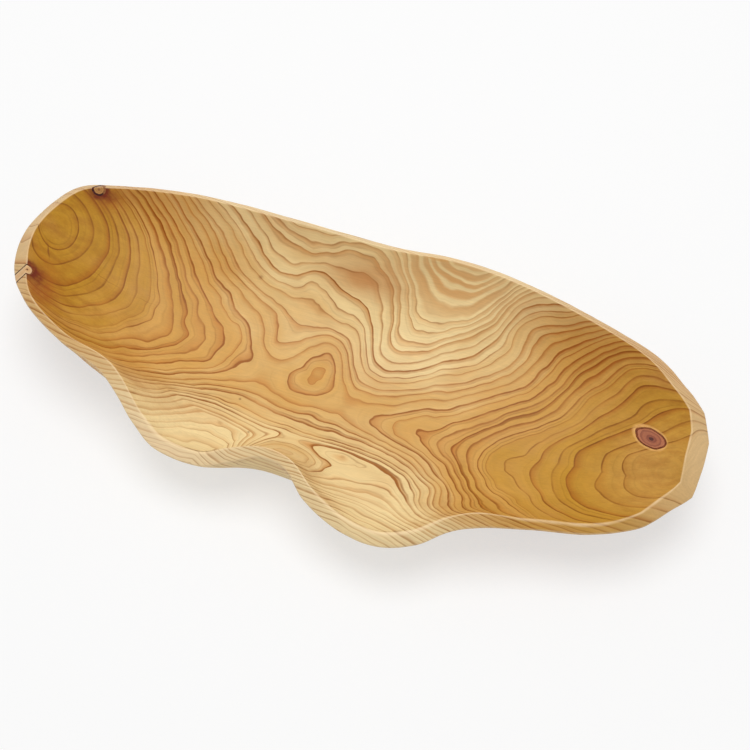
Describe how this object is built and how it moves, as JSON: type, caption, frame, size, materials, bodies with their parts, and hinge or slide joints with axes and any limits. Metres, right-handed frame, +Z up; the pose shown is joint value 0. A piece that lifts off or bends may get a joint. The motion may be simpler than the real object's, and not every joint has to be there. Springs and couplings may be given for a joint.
{
  "type": "boat-shaped serving bowl",
  "caption": "Boat-shaped serving bowl carved from a block of root wood, with a bevelled lobed rim, a flat foot and dead knots sitting in bark sleeves.",
  "frame": {"origin": "On the table plane under the middle of the bowl's bounding box, on the flat foot.", "axes": "+X along the bowl to its blunt end, +Y to its long straight side, +Z up."},
  "size_m": [0.4602, 0.2046, 0.0636],
  "materials": {
    "bowl_wood": "oiled satin, ringed grain",
    "knot_wood": "oiled satin end grain",
    "knot_bark": "dark bark, matt"
  },
  "bodies": {
    "root": {"bowl_body": "bowl_wood", "end_knot": "knot_wood", "end_knot_bark": "knot_bark", "back_knot": "knot_wood", "back_knot_bark": "knot_bark", "floor_knot": "knot_wood", "floor_knot_bark": "knot_bark"}
  },
  "joints": []
}
